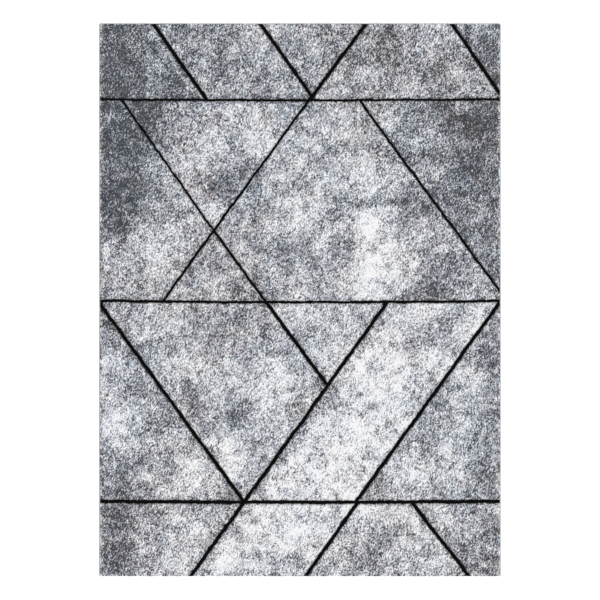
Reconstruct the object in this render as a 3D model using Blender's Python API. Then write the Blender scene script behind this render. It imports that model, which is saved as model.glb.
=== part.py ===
"""Cut-pile area rug with a carved pattern of straight lines.

The rug lies on z = 0 with its length along Y. From the floor up it is a back
sizing, a ground weave and the pile, which stands in two heights: raised fields,
and low lines between them. A cord in a whipped overlock runs down each long
side, and a tape under each short end turns up over the cut end of the weave.
Sizes are in metres.
"""

from math import pi

import bpy
import bmesh
from mathutils import Vector

# Whole rug
RUG_WIDTH = 1.600
RUG_LENGTH = 2.200
CLEARANCE = 0.0003

# Layers, from the floor up
SIZING_THICKNESS = 0.0008
WEAVE_THICKNESS = 0.0018
PILE_HEIGHT = 0.0088
LINE_PILE_HEIGHT = 0.0050
PILE_SHOULDER = 0.0015
SHOULDER_SEGMENTS = 2
LEVEL_TOLERANCE = 0.00001

# Long sides
SIDE_CORD_DIAMETER = 0.0036
OVERLOCK_WALL = 0.0008
ROUND_RESOLUTION = 6

# Short ends
TAPE_THICKNESS = 0.0008
TAPE_DEPTH = 0.030

# Carved lines: where the cross lines lie, and how wide each kind of line is
HEAD_STRIP_DEPTH = 0.304
FOOT_STRIP_DEPTH = 0.297
MIDDLE_LINE_OFFSET = -0.0065
CROSS_LINE_WIDTHS = {"head": 0.0085, "middle": 0.0095, "foot": 0.0130}
FINE_LINE_WIDTH = 0.0075
MEDIUM_LINE_WIDTH = 0.0092
BROAD_LINE_WIDTH = 0.0135

# Slanting lines, drawn as shares of the half width on each cross line or end,
# because the drawing is scaled to the rug that it is woven for
HEAD_END_MARKS = {"first": -0.732, "second": -0.198, "third": 0.330, "fourth": 0.754}
HEAD_LINE_MARKS = {"first": -0.463, "third": 0.045, "fourth": 1.013, "fall": -0.890, "right": 0.295}
MIDDLE_LINE_MARKS = {"rise": -0.683, "fall": -0.170, "left": -1.006, "steep": 0.435,
                     "right": 0.998, "edge": 1.028}
FOOT_LINE_MARKS = {"left": -0.276, "steep": -0.278, "right": 0.275, "right_below": 0.287,
                   "fall": 0.553}
FOOT_END_MARKS = {"steep": -0.545, "right": 0.026, "fall": 0.842}

# Where lines meet between two levels, as shares of the way down
KNOT_SHARE = 0.95
CROSSING_MARK = -0.430
CROSSING_SHARE = 0.646
JOIN_SHARE = 0.416

# Worked out from the sizes above
HALF_WIDTH = RUG_WIDTH / 2
HALF_LENGTH = RUG_LENGTH / 2
OVERLOCK_BORE = SIDE_CORD_DIAMETER + 2 * CLEARANCE
OVERLOCK_DIAMETER = OVERLOCK_BORE + 2 * OVERLOCK_WALL
BODY_HALF_WIDTH = HALF_WIDTH - OVERLOCK_DIAMETER - CLEARANCE
BODY_HALF_LENGTH = HALF_LENGTH - TAPE_THICKNESS - CLEARANCE
WEAVE_BOTTOM = max(SIZING_THICKNESS, TAPE_THICKNESS) + CLEARANCE
WEAVE_TOP = WEAVE_BOTTOM + WEAVE_THICKNESS
PILE_BOTTOM = WEAVE_TOP + CLEARANCE
LEVELS = {
    "head_end": HALF_LENGTH,
    "head": HALF_LENGTH - HEAD_STRIP_DEPTH,
    "middle": MIDDLE_LINE_OFFSET,
    "foot": FOOT_STRIP_DEPTH - HALF_LENGTH,
    "foot_end": -HALF_LENGTH,
}

# Each panel of the drawing lies between two levels
PANELS = {
    "head_strip": ("head_end", "head"),
    "upper_panel": ("head", "middle"),
    "lower_panel": ("middle", "foot"),
    "foot_strip": ("foot", "foot_end"),
}

COLLECTION = "area_rug"
MATERIALS = {
    "pile_grey": ((0.26, 0.27, 0.30), 0.95),
    "pile_black": ((0.012, 0.012, 0.013), 0.95),
    "weave_natural": ((0.50, 0.44, 0.34), 0.90),
    "sizing_pale": ((0.62, 0.60, 0.55), 0.80),
    "overlock_grey": ((0.42, 0.42, 0.44), 0.85),
    "cord_natural": ((0.55, 0.50, 0.42), 0.90),
    "tape_grey": ((0.50, 0.50, 0.50), 0.85),
}


def mark(share, level):
    """A point of the drawing, at a share of the half width on a level."""
    return Vector((share * HALF_WIDTH, LEVELS[level], 0))


def between(start, end, share):
    return start + (end - start) * share


def drawing():
    """Every slanting line of the drawing as {name: (upper point, lower point, width)}."""
    third_top = mark(HEAD_END_MARKS["third"], "head_end")
    third_foot = mark(HEAD_LINE_MARKS["third"], "head")
    crossing = Vector((
        CROSSING_MARK * HALF_WIDTH,
        LEVELS["head"] + (LEVELS["middle"] - LEVELS["head"]) * CROSSING_SHARE,
        0,
    ))
    steep_top = mark(MIDDLE_LINE_MARKS["steep"], "middle")
    steep_foot = mark(FOOT_LINE_MARKS["steep"], "foot")
    fall_middle = mark(MIDDLE_LINE_MARKS["fall"], "middle")
    broad, medium, fine = BROAD_LINE_WIDTH, MEDIUM_LINE_WIDTH, FINE_LINE_WIDTH
    return {
        "line_head_first": (
            mark(HEAD_END_MARKS["first"], "head_end"), mark(HEAD_LINE_MARKS["first"], "head"), broad),
        "line_head_second": (
            mark(HEAD_END_MARKS["second"], "head_end"), between(third_top, third_foot, KNOT_SHARE), broad),
        "line_head_third": (third_top, third_foot, broad),
        "line_head_fourth": (
            mark(HEAD_END_MARKS["fourth"], "head_end"), mark(HEAD_LINE_MARKS["fourth"], "head"), broad),
        "line_upper_rise_top": (third_foot, crossing, medium),
        "line_upper_rise_foot": (crossing, mark(MIDDLE_LINE_MARKS["rise"], "middle"), medium),
        "line_upper_fall_top": (mark(HEAD_LINE_MARKS["fall"], "head"), crossing, fine),
        "line_upper_fall_foot": (crossing, fall_middle, medium),
        "line_upper_right": (
            mark(HEAD_LINE_MARKS["right"], "head"), mark(MIDDLE_LINE_MARKS["edge"], "middle"), medium),
        "line_lower_left": (
            mark(MIDDLE_LINE_MARKS["left"], "middle"), mark(FOOT_LINE_MARKS["left"], "foot"), broad),
        "line_lower_short": (fall_middle, between(steep_top, steep_foot, JOIN_SHARE), broad),
        "line_lower_steep": (steep_top, steep_foot, broad),
        "line_lower_right": (
            mark(MIDDLE_LINE_MARKS["right"], "middle"), mark(FOOT_LINE_MARKS["right"], "foot"), broad),
        "line_foot_steep": (steep_foot, mark(FOOT_END_MARKS["steep"], "foot_end"), broad),
        "line_foot_right": (
            mark(FOOT_LINE_MARKS["right_below"], "foot"), mark(FOOT_END_MARKS["right"], "foot_end"), broad),
        "line_foot_fall": (
            mark(FOOT_LINE_MARKS["fall"], "foot"), mark(FOOT_END_MARKS["fall"], "foot_end"), broad),
    }


# Each pile field: its panel, the lines it lies to the right of, and those it lies to the left of
FIELDS = {
    "pile_head_corner_left": ("head_strip", (), ("line_head_first",)),
    "pile_head_slant": ("head_strip", ("line_head_first",), ("line_head_second", "line_head_third")),
    "pile_head_triangle": ("head_strip", ("line_head_second",), ("line_head_third",)),
    "pile_head_wedge": ("head_strip", ("line_head_third", "line_head_second"), ("line_head_fourth",)),
    "pile_head_corner_right": ("head_strip", ("line_head_fourth",), ()),
    "pile_upper_side_left": ("upper_panel", (), ("line_upper_fall_top", "line_upper_rise_foot")),
    "pile_upper_triangle": ("upper_panel", ("line_upper_fall_top",), ("line_upper_rise_top",)),
    "pile_upper_small_triangle": ("upper_panel", ("line_upper_rise_foot",), ("line_upper_fall_foot",)),
    "pile_upper_hexagon": (
        "upper_panel", ("line_upper_rise_top", "line_upper_fall_foot"), ("line_upper_right",)),
    "pile_upper_side_right": ("upper_panel", ("line_upper_right",), ()),
    "pile_lower_corner_left": ("lower_panel", (), ("line_lower_left",)),
    "pile_lower_kite": (
        "lower_panel", ("line_lower_left",), ("line_lower_short", "line_lower_steep")),
    "pile_lower_triangle": ("lower_panel", ("line_lower_short",), ("line_lower_steep",)),
    "pile_lower_slant": ("lower_panel", ("line_lower_steep",), ("line_lower_right",)),
    "pile_lower_side_right": ("lower_panel", ("line_lower_right",), ()),
    "pile_foot_corner_left": ("foot_strip", (), ("line_foot_steep",)),
    "pile_foot_slant": ("foot_strip", ("line_foot_steep",), ("line_foot_right",)),
    "pile_foot_wedge": ("foot_strip", ("line_foot_right",), ("line_foot_fall",)),
    "pile_foot_corner_right": ("foot_strip", ("line_foot_fall",), ()),
}

# Each slanting line: its panel, the lines that stop it on their right side, and on their left side
LINE_STOPS = {
    "line_head_first": ("head_strip", (), ()),
    "line_head_second": ("head_strip", (), ("line_head_third",)),
    "line_head_third": ("head_strip", (), ()),
    "line_head_fourth": ("head_strip", (), ()),
    "line_upper_rise_top": ("upper_panel", (), ()),
    "line_upper_rise_foot": ("upper_panel", (), ()),
    "line_upper_fall_top": ("upper_panel", (), ("line_upper_rise_top", "line_upper_rise_foot")),
    "line_upper_fall_foot": ("upper_panel", ("line_upper_rise_top", "line_upper_rise_foot"), ()),
    "line_upper_right": ("upper_panel", (), ()),
    "line_lower_left": ("lower_panel", (), ("line_lower_steep",)),
    "line_lower_short": ("lower_panel", (), ("line_lower_steep",)),
    "line_lower_steep": ("lower_panel", (), ()),
    "line_lower_right": ("lower_panel", (), ()),
    "line_foot_steep": ("foot_strip", (), ()),
    "line_foot_right": ("foot_strip", (), ()),
    "line_foot_fall": ("foot_strip", (), ()),
}

# The rise is woven straight through the crossing, in two lengths that meet on it
RISE_LENGTHS = {"line_upper_rise_top": 1, "line_upper_rise_foot": -1}


def clear_scene():
    for obj in list(bpy.data.objects):
        bpy.data.objects.remove(obj)
    for mesh in list(bpy.data.meshes):
        bpy.data.meshes.remove(mesh)
    for material in list(bpy.data.materials):
        bpy.data.materials.remove(material)


def make_collection():
    collection = bpy.data.collections.new(COLLECTION)
    bpy.context.scene.collection.children.link(collection)
    return collection


def make_material(name, slot):
    """A material of its own for each piece, in the colour and roughness of its kind."""
    colour, roughness = MATERIALS[slot]
    material = bpy.data.materials.new(name + "_" + slot)
    material.use_nodes = True
    shader = material.node_tree.nodes["Principled BSDF"]
    shader.inputs["Base Color"].default_value = (*colour, 1)
    shader.inputs["Roughness"].default_value = roughness
    shader.inputs["Metallic"].default_value = 0
    material.diffuse_color = (*colour, 1)
    return material


def place(name, data, slot, collection):
    obj = bpy.data.objects.new(name, data)
    collection.objects.link(obj)
    data.materials.append(make_material(name, slot))
    return obj


def across(upper, lower):
    """The level direction that points to the right of a line of the drawing."""
    along = (upper - lower).normalized()
    return Vector((along.y, -along.x, 0))


def new_block(low, high):
    """A box between two corners."""
    block = bmesh.new()
    bmesh.ops.create_cube(block, size=1)
    size = high - low
    bmesh.ops.scale(block, vec=size, verts=block.verts)
    bmesh.ops.translate(block, vec=(low + high) / 2, verts=block.verts)
    return block


def keep(block, point, outward):
    """Cuts off what lies past the plane on its outward side, and closes the cut."""
    geometry = block.verts[:] + block.edges[:] + block.faces[:]
    cut = bmesh.ops.bisect_plane(
        block, geom=geometry, plane_co=point, plane_no=outward, clear_outer=True)["geom_cut"]
    edges = [item for item in cut if isinstance(item, bmesh.types.BMEdge)]
    if edges:
        bmesh.ops.edgeloop_fill(block, edges=edges)


def keep_right_of(block, line, gap):
    upper, lower, width = line
    side = across(upper, lower)
    keep(block, upper + side * (width / 2 + gap), -side)


def keep_left_of(block, line, gap):
    upper, lower, width = line
    side = across(upper, lower)
    keep(block, upper - side * (width / 2 + gap), side)


def panel_limits(panel):
    """The lowest and highest y that pile between two cross lines may reach."""
    top, bottom = PANELS[panel]
    high = BODY_HALF_LENGTH
    low = -BODY_HALF_LENGTH
    if top in CROSS_LINE_WIDTHS:
        high = LEVELS[top] - CROSS_LINE_WIDTHS[top] / 2 - CLEARANCE
    if bottom in CROSS_LINE_WIDTHS:
        low = LEVELS[bottom] + CROSS_LINE_WIDTHS[bottom] / 2 + CLEARANCE
    return low, high


def panel_block(panel, height):
    low, high = panel_limits(panel)
    return new_block(
        Vector((-BODY_HALF_WIDTH, low, PILE_BOTTOM)),
        Vector((BODY_HALF_WIDTH, high, PILE_BOTTOM + height)),
    )


def round_shoulders(block, top):
    """Rounds the edges of the pile's top face, as a shearing machine leaves them."""
    block.normal_update()
    edges = [e for e in block.edges if all(abs(v.co.z - top) < LEVEL_TOLERANCE for v in e.verts)]
    bmesh.ops.bevel(
        block, geom=edges, offset=PILE_SHOULDER, segments=SHOULDER_SEGMENTS, profile=0.5,
        affect="EDGES", clamp_overlap=True)


def finish_block(name, block, slot, collection):
    bmesh.ops.recalc_face_normals(block, faces=block.faces)
    mesh = bpy.data.meshes.new(name)
    block.to_mesh(mesh)
    block.free()
    return place(name, mesh, slot, collection)


def add_field(name, lines, collection):
    """One raised field of pile, cut out of its panel by the lines beside it."""
    panel, right_of, left_of = FIELDS[name]
    block = panel_block(panel, PILE_HEIGHT)
    for line in right_of:
        keep_right_of(block, lines[line], CLEARANCE)
    for line in left_of:
        keep_left_of(block, lines[line], CLEARANCE)
    round_shoulders(block, PILE_BOTTOM + PILE_HEIGHT)
    finish_block(name, block, "pile_grey", collection)


def add_slanting_line(name, lines, collection):
    """One low line of pile, as long as its panel or as the lines that stop it let it be."""
    panel, right_of, left_of = LINE_STOPS[name]
    upper, lower, width = lines[name]
    side = across(upper, lower)
    block = panel_block(panel, LINE_PILE_HEIGHT)
    keep(block, upper + side * width / 2, side)
    keep(block, upper - side * width / 2, -side)
    if name in RISE_LENGTHS:
        crossing = lines["line_upper_rise_top"][1]
        away = Vector((0, -RISE_LENGTHS[name], 0))
        keep(block, crossing - away * CLEARANCE / 2, away)
    for line in right_of:
        keep_right_of(block, lines[line], CLEARANCE)
    for line in left_of:
        keep_left_of(block, lines[line], CLEARANCE)
    finish_block(name, block, "pile_black", collection)


def add_cross_line(level, collection):
    """One low line of pile from side to side."""
    half = CROSS_LINE_WIDTHS[level] / 2
    block = new_block(
        Vector((-BODY_HALF_WIDTH, LEVELS[level] - half, PILE_BOTTOM)),
        Vector((BODY_HALF_WIDTH, LEVELS[level] + half, PILE_BOTTOM + LINE_PILE_HEIGHT)),
    )
    finish_block("line_cross_" + level, block, "pile_black", collection)


def add_layers(collection):
    """The ground weave, and the sizing under it between the two end tapes."""
    weave = new_block(
        Vector((-BODY_HALF_WIDTH, -BODY_HALF_LENGTH, WEAVE_BOTTOM)),
        Vector((BODY_HALF_WIDTH, BODY_HALF_LENGTH, WEAVE_TOP)),
    )
    finish_block("ground_weave", weave, "weave_natural", collection)
    sizing_half_length = HALF_LENGTH - TAPE_DEPTH - CLEARANCE
    sizing = new_block(
        Vector((-BODY_HALF_WIDTH, -sizing_half_length, WEAVE_BOTTOM - CLEARANCE - SIZING_THICKNESS)),
        Vector((BODY_HALF_WIDTH, sizing_half_length, WEAVE_BOTTOM - CLEARANCE)),
    )
    finish_block("back_sizing", sizing, "sizing_pale", collection)


def add_outline_curve(name, outlines, half_depth, slot, collection):
    """A flat outline of closed splines, extruded both ways by half its depth."""
    curve = bpy.data.curves.new(name, "CURVE")
    curve.dimensions = "2D"
    curve.fill_mode = "BOTH"
    curve.extrude = half_depth
    curve.resolution_u = ROUND_RESOLUTION
    for points, handles in outlines:
        spline = curve.splines.new("BEZIER")
        spline.bezier_points.add(len(points) - 1)
        spline.use_cyclic_u = True
        for bezier, (x, y) in zip(spline.bezier_points, points):
            bezier.co = (x, y, 0)
            bezier.handle_left_type = handles
            bezier.handle_right_type = handles
    return place(name, curve, slot, collection)


def circle(radius):
    """Four points of a circle with smooth handles, which a Bezier spline rounds off."""
    return [(radius, 0), (0, radius), (-radius, 0), (0, -radius)]


def add_side(side, sign, collection):
    """The overlock of one long side, and the cord that it is whipped round."""
    centre = Vector((sign * (HALF_WIDTH - OVERLOCK_DIAMETER / 2), 0, OVERLOCK_DIAMETER / 2))
    outlines = [(circle(OVERLOCK_DIAMETER / 2), "AUTO"), (circle(OVERLOCK_BORE / 2), "AUTO")]
    overlock = add_outline_curve(
        "side_overlock_" + side, outlines, HALF_LENGTH, "overlock_grey", collection)
    overlock.location = centre
    overlock.rotation_euler = (pi / 2, 0, 0)
    cord = bpy.data.curves.new("side_cord_" + side, "CURVE")
    cord.dimensions = "3D"
    cord.bevel_depth = SIDE_CORD_DIAMETER / 2
    cord.bevel_resolution = ROUND_RESOLUTION
    cord.use_fill_caps = True
    spline = cord.splines.new("POLY")
    spline.points.add(1)
    spline.points[0].co = (0, -HALF_LENGTH, 0, 1)
    spline.points[1].co = (0, HALF_LENGTH, 0, 1)
    place("side_cord_" + side, cord, "cord_natural", collection).location = centre


def add_end_tape(end, sign, collection):
    """The tape under one short end, turned up over the cut end of the weave."""
    outline = [
        (0, 0),
        (TAPE_DEPTH, 0),
        (TAPE_DEPTH, TAPE_THICKNESS),
        (TAPE_THICKNESS, TAPE_THICKNESS),
        (TAPE_THICKNESS, WEAVE_TOP),
        (0, WEAVE_TOP),
    ]
    tape = add_outline_curve(
        "end_tape_" + end, [(outline, "VECTOR")], BODY_HALF_WIDTH, "tape_grey", collection)
    tape.location = (0, sign * HALF_LENGTH, 0)
    tape.rotation_euler = (pi / 2, 0, -sign * pi / 2)


def main():
    clear_scene()
    collection = make_collection()
    lines = drawing()
    for name in FIELDS:
        add_field(name, lines, collection)
    for level in CROSS_LINE_WIDTHS:
        add_cross_line(level, collection)
    for name in LINE_STOPS:
        add_slanting_line(name, lines, collection)
    add_layers(collection)
    for side, sign in (("left", -1), ("right", 1)):
        add_side(side, sign, collection)
    for end, sign in (("head", 1), ("foot", -1)):
        add_end_tape(end, sign, collection)


main()
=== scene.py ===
import math

import bmesh
import bpy
import numpy as np
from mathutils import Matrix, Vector


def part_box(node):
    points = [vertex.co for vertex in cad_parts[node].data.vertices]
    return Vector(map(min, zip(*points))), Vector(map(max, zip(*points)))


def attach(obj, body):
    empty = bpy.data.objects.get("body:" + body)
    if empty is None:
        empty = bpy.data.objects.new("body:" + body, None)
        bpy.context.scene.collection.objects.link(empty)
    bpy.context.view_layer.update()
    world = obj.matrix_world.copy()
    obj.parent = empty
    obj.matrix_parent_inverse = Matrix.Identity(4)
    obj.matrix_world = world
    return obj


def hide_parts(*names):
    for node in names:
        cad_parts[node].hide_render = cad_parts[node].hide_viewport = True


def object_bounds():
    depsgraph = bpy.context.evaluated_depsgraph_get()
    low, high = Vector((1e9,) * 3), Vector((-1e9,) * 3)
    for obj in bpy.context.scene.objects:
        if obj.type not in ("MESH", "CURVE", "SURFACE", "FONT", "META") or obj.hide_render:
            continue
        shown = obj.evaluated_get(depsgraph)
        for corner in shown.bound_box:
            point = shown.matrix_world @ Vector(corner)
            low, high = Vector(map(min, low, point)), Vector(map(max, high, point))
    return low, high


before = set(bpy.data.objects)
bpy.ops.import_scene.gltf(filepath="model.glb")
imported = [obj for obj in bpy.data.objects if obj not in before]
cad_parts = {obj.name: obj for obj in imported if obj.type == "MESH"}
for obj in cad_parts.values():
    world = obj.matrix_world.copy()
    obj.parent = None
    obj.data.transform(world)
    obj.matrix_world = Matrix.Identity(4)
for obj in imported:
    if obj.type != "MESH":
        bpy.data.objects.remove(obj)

bl_info = {
    "name": "Carved Heather Rug",
    "version": (1, 0, 0),
    "blender": (4, 5, 0),
    "location": "View3D > Sidebar > Rug",
    "description": "Makes a carved cut-pile rug: heather pile, low lines, back, overlocks and end tapes",
    "category": "Object",
}

# The frame's own box, and the levels and edges that the pieces are worked out from
CAD_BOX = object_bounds()
BODY = "root"
WEAVE_LOW, WEAVE_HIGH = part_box("ground_weave")
SIZING_LOW, SIZING_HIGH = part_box("back_sizing")
RUG_LOW = Vector(CAD_BOX[0])
RUG_HIGH = Vector(CAD_BOX[1])
HALF_WIDTH = (RUG_HIGH.x - RUG_LOW.x) / 2
HALF_LENGTH = (RUG_HIGH.y - RUG_LOW.y) / 2

FIELDS = sorted(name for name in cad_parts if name.startswith("pile_"))
LINES = sorted(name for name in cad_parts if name.startswith("line_"))
SIDES = ("left", "right")
ENDS = ("head", "foot")

# How light each raised field is dyed, from 0 for the darkest heather to 1 for the lightest, and the
# clouds that are dyed into it: middle across and along the rug, reach, and how much lighter or darker
CLOUDS = {
    "pile_head_corner_left": (0.18, (
        (-0.75, 0.94, 0.10, -0.20), (-0.58, 0.92, 0.04, 0.16), (-0.57, 0.84, 0.04, 0.18),
        (-0.62, 1.04, 0.05, 0.12))),
    "pile_head_slant": (0.56, (
        (-0.45, 1.08, 0.05, -0.20), (-0.30, 0.92, 0.04, -0.15), (-0.18, 1.00, 0.06, 0.15),
        (-0.10, 0.87, 0.04, 0.12), (-0.40, 0.96, 0.04, 0.18), (-0.26, 0.83, 0.04, 0.14),
        (-0.31, 1.02, 0.05, -0.18))),
    "pile_head_triangle": (0.62, ((0.05, 0.86, 0.05, -0.12), (-0.06, 1.07, 0.05, 0.10))),
    "pile_head_wedge": (0.52, (
        (0.25, 0.86, 0.07, 0.18), (0.37, 1.02, 0.07, -0.18), (0.50, 1.07, 0.06, 0.15),
        (0.58, 0.94, 0.05, -0.18), (0.66, 0.85, 0.04, 0.10))),
    "pile_head_corner_right": (0.25, ((0.72, 1.07, 0.04, 0.08),)),
    "pile_upper_side_left": (0.50, (
        (-0.76, 0.68, 0.12, -0.40), (-0.73, 0.49, 0.10, -0.25), (-0.77, 0.33, 0.08, -0.35),
        (-0.54, 0.27, 0.08, 0.28), (-0.72, 0.12, 0.07, 0.22), (-0.56, 0.09, 0.06, 0.35),
        (-0.79, 0.00, 0.04, -0.20))),
    "pile_upper_triangle": (0.72, (
        (-0.61, 0.73, 0.09, -0.50), (-0.20, 0.74, 0.03, 0.25), (-0.32, 0.61, 0.06, 0.18),
        (-0.26, 0.48, 0.055, -0.34), (-0.36, 0.44, 0.05, -0.20), (-0.47, 0.50, 0.04, -0.22),
        (-0.10, 0.76, 0.04, 0.12), (-0.28, 0.77, 0.03, -0.18), (-0.57, 0.65, 0.05, -0.30),
        (-0.46, 0.73, 0.03, -0.20), (-0.20, 0.60, 0.04, 0.15))),
    "pile_upper_small_triangle": (0.62, (
        (-0.33, 0.07, 0.05, 0.22), (-0.25, 0.05, 0.04, -0.25), (-0.43, 0.10, 0.03, -0.10))),
    "pile_upper_hexagon": (0.65, (
        (-0.17, 0.43, 0.05, -0.22), (-0.08, 0.49, 0.05, 0.14), (0.04, 0.70, 0.06, 0.18),
        (0.14, 0.58, 0.08, 0.16), (0.04, 0.78, 0.03, -0.15), (0.26, 0.46, 0.05, 0.36),
        (0.20, 0.385, 0.05, -0.18), (0.13, 0.35, 0.03, -0.15), (-0.03, 0.33, 0.05, 0.36),
        (0.26, 0.31, 0.06, 0.48), (0.17, 0.235, 0.045, -0.45), (0.31, 0.15, 0.09, 0.55),
        (0.22, 0.06, 0.06, 0.30), (0.53, 0.04, 0.05, -0.48), (0.59, 0.15, 0.06, -0.32),
        (0.05, 0.11, 0.05, -0.10), (-0.13, 0.18, 0.08, -0.18), (-0.20, 0.04, 0.05, -0.18),
        (0.08, 0.27, 0.04, 0.22), (0.42, 0.33, 0.05, -0.15), (0.43, 0.20, 0.05, 0.15),
        (0.30, 0.60, 0.05, -0.12), (0.22, 0.72, 0.04, 0.10), (0.47, 0.42, 0.05, -0.20))),
    "pile_upper_side_right": (0.38, (
        (0.74, 0.70, 0.08, -0.40), (0.62, 0.70, 0.04, -0.20), (0.48, 0.60, 0.06, 0.12),
        (0.35, 0.74, 0.06, 0.42), (0.52, 0.71, 0.04, 0.28), (0.68, 0.56, 0.06, -0.10),
        (0.72, 0.50, 0.08, -0.16), (0.79, 0.30, 0.04, 0.30), (0.66, 0.38, 0.05, 0.10),
        (0.73, 0.22, 0.05, -0.12), (0.485, 0.58, 0.014, -0.35))),
    "pile_lower_corner_left": (0.52, (
        (-0.76, -0.08, 0.07, -0.20), (-0.78, -0.27, 0.05, 0.35), (-0.72, -0.49, 0.07, 0.55),
        (-0.73, -0.66, 0.07, -0.12), (-0.52, -0.47, 0.05, -0.15), (-0.42, -0.70, 0.06, 0.55),
        (-0.78, -0.78, 0.05, -0.20), (-0.58, -0.66, 0.05, 0.12))),
    "pile_lower_kite": (0.68, (
        (-0.57, -0.06, 0.05, 0.20), (-0.30, -0.08, 0.07, -0.20), (-0.35, -0.24, 0.08, 0.10),
        (-0.28, -0.33, 0.04, 0.15), (-0.09, -0.34, 0.07, 0.45), (-0.27, -0.45, 0.035, -0.22),
        (-0.30, -0.56, 0.05, 0.45), (-0.24, -0.69, 0.04, 0.35), (-0.12, -0.12, 0.06, -0.10),
        (-0.44, -0.42, 0.05, -0.25), (-0.50, -0.24, 0.05, 0.12), (-0.15, -0.52, 0.04, -0.12),
        (-0.16, -0.21, 0.04, -0.15), (-0.38, -0.35, 0.03, -0.12))),
    "pile_lower_triangle": (0.78, (
        (0.10, -0.05, 0.05, 0.15), (0.22, -0.06, 0.04, 0.15), (0.30, -0.03, 0.03, -0.20),
        (-0.03, -0.12, 0.04, -0.20))),
    "pile_lower_slant": (1.00, (
        (0.48, -0.16, 0.05, -0.50), (0.42, -0.05, 0.04, -0.12), (0.60, -0.12, 0.04, -0.45),
        (0.10, -0.46, 0.05, -0.30), (0.31, -0.25, 0.07, 0.20), (0.20, -0.60, 0.15, 0.20),
        (0.51, -0.28, 0.03, 0.25), (0.12, -0.72, 0.08, 0.12), (0.76, -0.03, 0.04, -0.15),
        (0.26, -0.55, 0.02, -0.20), (0.45, -0.36, 0.04, -0.10), (0.43, -0.24, 0.04, -0.35),
        (0.69, -0.10, 0.03, 0.20))),
    "pile_lower_side_right": (0.62, (
        (0.78, -0.18, 0.07, -0.30), (0.65, -0.31, 0.05, 0.30), (0.70, -0.55, 0.05, -0.15),
        (0.43, -0.67, 0.06, 0.60), (0.58, -0.62, 0.04, 0.25), (0.76, -0.76, 0.06, -0.08),
        (0.50, -0.76, 0.04, 0.20), (0.64, -0.73, 0.03, 0.10), (0.66, -0.45, 0.04, 0.10),
        (0.53, -0.56, 0.03, -0.20), (0.78, -0.40, 0.04, -0.15), (0.70, -0.25, 0.04, -0.12))),
    "pile_foot_corner_left": (0.55, (
        (-0.77, -0.87, 0.05, -0.42), (-0.77, -1.03, 0.07, -0.48), (-0.42, -0.90, 0.05, 0.50),
        (-0.52, -1.03, 0.07, 0.35), (-0.33, -0.86, 0.03, 0.20))),
    "pile_foot_slant": (1.06, (
        (-0.05, -1.04, 0.07, -0.30), (-0.25, -0.93, 0.07, 0.15), (0.05, -0.86, 0.09, 0.20))),
    "pile_foot_wedge": (0.72, (
        (0.30, -0.84, 0.06, 0.30), (0.32, -0.95, 0.045, -0.38), (0.44, -0.98, 0.05, 0.38))),
    "pile_foot_corner_right": (0.58, (
        (0.58, -0.86, 0.05, 0.22), (0.76, -1.00, 0.06, -0.20), (0.64, -1.05, 0.05, -0.08),
        (0.76, -0.85, 0.04, -0.12), (0.50, -0.82, 0.03, 0.10))),
}

# Streaks of painted shade along one side of some lines, where the carved shoulder turns away from the light;
# a positive lift paints one lighter: from and to, reach, and how much lighter or darker
SHADE_STREAKS = {
    "pile_head_corner_left": ((-0.60, 1.08, -0.40, 0.81, 0.016, 0.40),),
    "pile_lower_slant": ((0.36, -0.02, -0.19, -0.79, 0.020, -0.50),),
    "pile_foot_slant": ((-0.21, -0.81, -0.42, -1.09, 0.024, -0.50),),
    "pile_upper_hexagon": ((0.04, 0.79, 0.23, 0.79, 0.012, -0.25), (0.14, 0.40, 0.42, 0.40, 0.014, -0.35)),
    "pile_upper_triangle": ((-0.70, 0.79, 0.04, 0.79, 0.012, -0.22),),
}

# Yarns of the heather, from dark to light
YARNS = ("Slate", "Charcoal", "Cool Grey", "Warm Grey", "Cool White", "Warm White")
# How far the dye, the tuft itself and the cells of its cut end move it along the yarns, where that starts,
# and the steps from dark to middle yarns, from middle to light ones and from warm to cool ones
TONE_SHARE = 0.79
TUFT_SHARE = 1.35
CELL_SHARE = 0.55
YARN_START = -0.0025
MIDDLE_STEP = (0.05, 0.50)
LIGHT_STEP = (0.50, 1.06)
TINT_STEP = (0.35, 0.65)
# Cells of the cut ends: size against the tuft's pitches, how ragged they are, and how wide the gaps are
CELL_ACROSS = 0.8
CELL_ALONG = 0.65
RAGGED = (0.7, 0.7, 0.0)
GAP_WIDTH = 0.36
# What the outermost tufts fade to along the long sides, the head and the foot: tone, share, and how far in
SIDE_RIM = (0.58, 0.8, 0.007)
HEAD_RIM = (0.58, 0.8, 0.006)
FOOT_RIM = (0.68, 0.9, 0.011)
# Noise that is added up from several sizes, each with its share: how the clouds are torn, how the dye is
# mottled, how its cast drifts between cool and warm, and how the drawing strays
TEARS = ((0.090, 0.020), (0.030, 0.010), (0.012, 0.005))
MOTTLE = ((0.070, 0.17), (0.035, 0.23), (0.018, 0.20), (0.009, 0.13))
CASTS = ((0.220, 0.15), (0.060, 0.15))
STRAYS = ((0.060, 1.0), (0.014, 1.1), (0.0045, 0.75))
# Where the mottling gets stronger: from which tone up, and over how much of it
LIGHT_TONE = 0.7
LIGHT_RANGE = 0.5

# Edge of the raised pile, from its sheared face down: share of the shoulder, and share of the height
RAISED_EDGE = ((1.0, 0.0), (0.50, 0.05), (0.15, 0.16), (0.0, 0.34), (0.0, 0.55), (0.0, 0.75), (0.0, 1.0))
# Edge of a low line, which stands between two raised fields: inset, and share of the height
LOW_EDGE = ((0.0009, 0.0), (0.0003, 0.08), (0.0, 0.25), (0.0, 1.0))
# How the pile leans out along the long sides: shares of the depth, shares of the overhang, and how far in
LEAN_DEPTHS = (0, 0.10, 0.30, 0.55, 0.72, 1.0)
LEAN_SHARES = (0.3, 0.7, 1.0, 0.8, 0.0, 0.0)
LEAN_REACH = 0.006
# Size over which the sheared face rises and falls
SHEAR_SIZE = 0.045
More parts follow.
